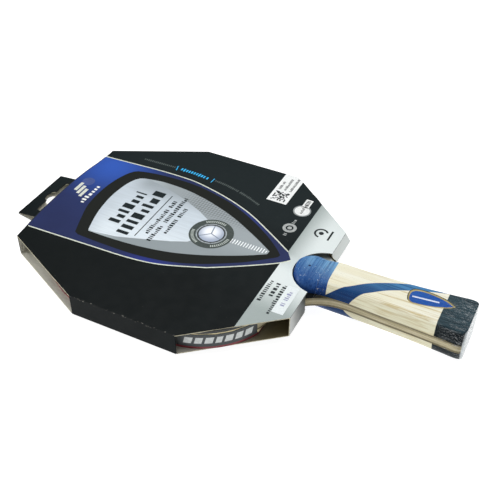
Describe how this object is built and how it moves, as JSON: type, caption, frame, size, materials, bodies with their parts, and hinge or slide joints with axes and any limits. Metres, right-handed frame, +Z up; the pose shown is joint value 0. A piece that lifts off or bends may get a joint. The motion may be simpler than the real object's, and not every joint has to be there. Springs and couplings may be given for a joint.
{
  "type": "table tennis paddle in a card display sleeve",
  "caption": "Shakehand table tennis paddle with an inlaid flared handle, packed in an octagonal card sleeve with open corners, a hang tab and an arch for the handle.",
  "frame": {"origin": "middle of the underside of the object's box", "axes": "+X along the handle towards the butt, +Z up out of the sleeve's printed face, +Y to the side where the lid is hinged"},
  "size_m": [0.2858, 0.159, 0.0231],
  "materials": {
    "black_card": "semi-gloss printed",
    "silver_card": "metallic silver print",
    "label_paper": "matte",
    "blade_ply": "sanded",
    "carbon_fibre": "woven",
    "sponge": "matte foam",
    "black_rubber": "satin",
    "red_rubber": "satin",
    "edge_tape": "satin",
    "blue_wood": "stained, lacquered",
    "pale_wood": "lacquered",
    "veneer": "lacquered",
    "dark_wood": "stained, lacquered",
    "badge_rim": "bronze",
    "badge_insert": "gloss",
    "clear_film": "clear"
  },
  "bodies": {
    "tray": {"bottom_panel": "black_card", "far_side_wall": "black_card", "side_glue_flap": "black_card", "header_glue_flap": "black_card"},
    "lid": {"top_panel": "black_card", "near_side_wall": "black_card", "header_wall": "black_card", "info_label": "label_paper", "size_sticker": "label_paper"},
    "near_front_flap": {"near_front_flap": "silver_card"},
    "far_front_flap": {"far_front_flap": "silver_card"},
    "hang_tab": {"tab_lower_layer": "black_card", "tab_upper_layer": "black_card"},
    "paddle": {"blade_core": "blade_ply", "top_inner_ply": "blade_ply", "bottom_inner_ply": "blade_ply", "top_fibre_layer": "carbon_fibre", "bottom_fibre_layer": "carbon_fibre", "top_outer_ply": "blade_ply", "bottom_outer_ply": "blade_ply", "top_sponge": "sponge", "bottom_sponge": "sponge", "black_topsheet": "black_rubber", "red_topsheet": "red_rubber", "edge_tape": "edge_tape", "top_scale_neck_block": "blue_wood", "top_scale_fore_block": "pale_wood", "top_scale_swoosh": "blue_wood", "top_scale_main_block": "pale_wood", "top_scale_veneer_lines": "veneer", "top_scale_butt_block": "dark_wood", "bottom_scale_neck_block": "blue_wood", "bottom_scale_fore_block": "pale_wood", "bottom_scale_swoosh": "blue_wood", "bottom_scale_main_block": "pale_wood", "bottom_scale_veneer_lines": "veneer", "bottom_scale_butt_block": "dark_wood", "badge_rim": "badge_rim", "badge_insert": "badge_insert", "handle_film": "clear_film"}
  },
  "joints": [
    {"name": "lid_hinge", "type": "hinge", "parent": "tray", "child": "lid", "pos_m": [-0.02677, 0.0795, 0.01803], "axis": [-1, 0, 0], "range_deg": [0, 150]},
    {"name": "near_flap_hinge", "type": "hinge", "parent": "lid", "child": "near_front_flap", "pos_m": [0.05509, -0.0293, 0.01803], "axis": [0, -1, 0], "range_deg": [0, 150]},
    {"name": "far_flap_hinge", "type": "hinge", "parent": "lid", "child": "far_front_flap", "pos_m": [0.05509, 0.03005, 0.01803], "axis": [0, -1, 0], "range_deg": [0, 150]},
    {"name": "hang_tab_hinge", "type": "hinge", "parent": "tray", "child": "hang_tab", "pos_m": [-0.11892, 0, 0.00503], "axis": [0, 1, 0], "range_deg": [0, 35]},
    {"name": "paddle_play", "type": "slide", "parent": "tray", "child": "paddle", "axis": [1, 0, 0], "range_m": [-0.0004, 0.0004]}
  ]
}
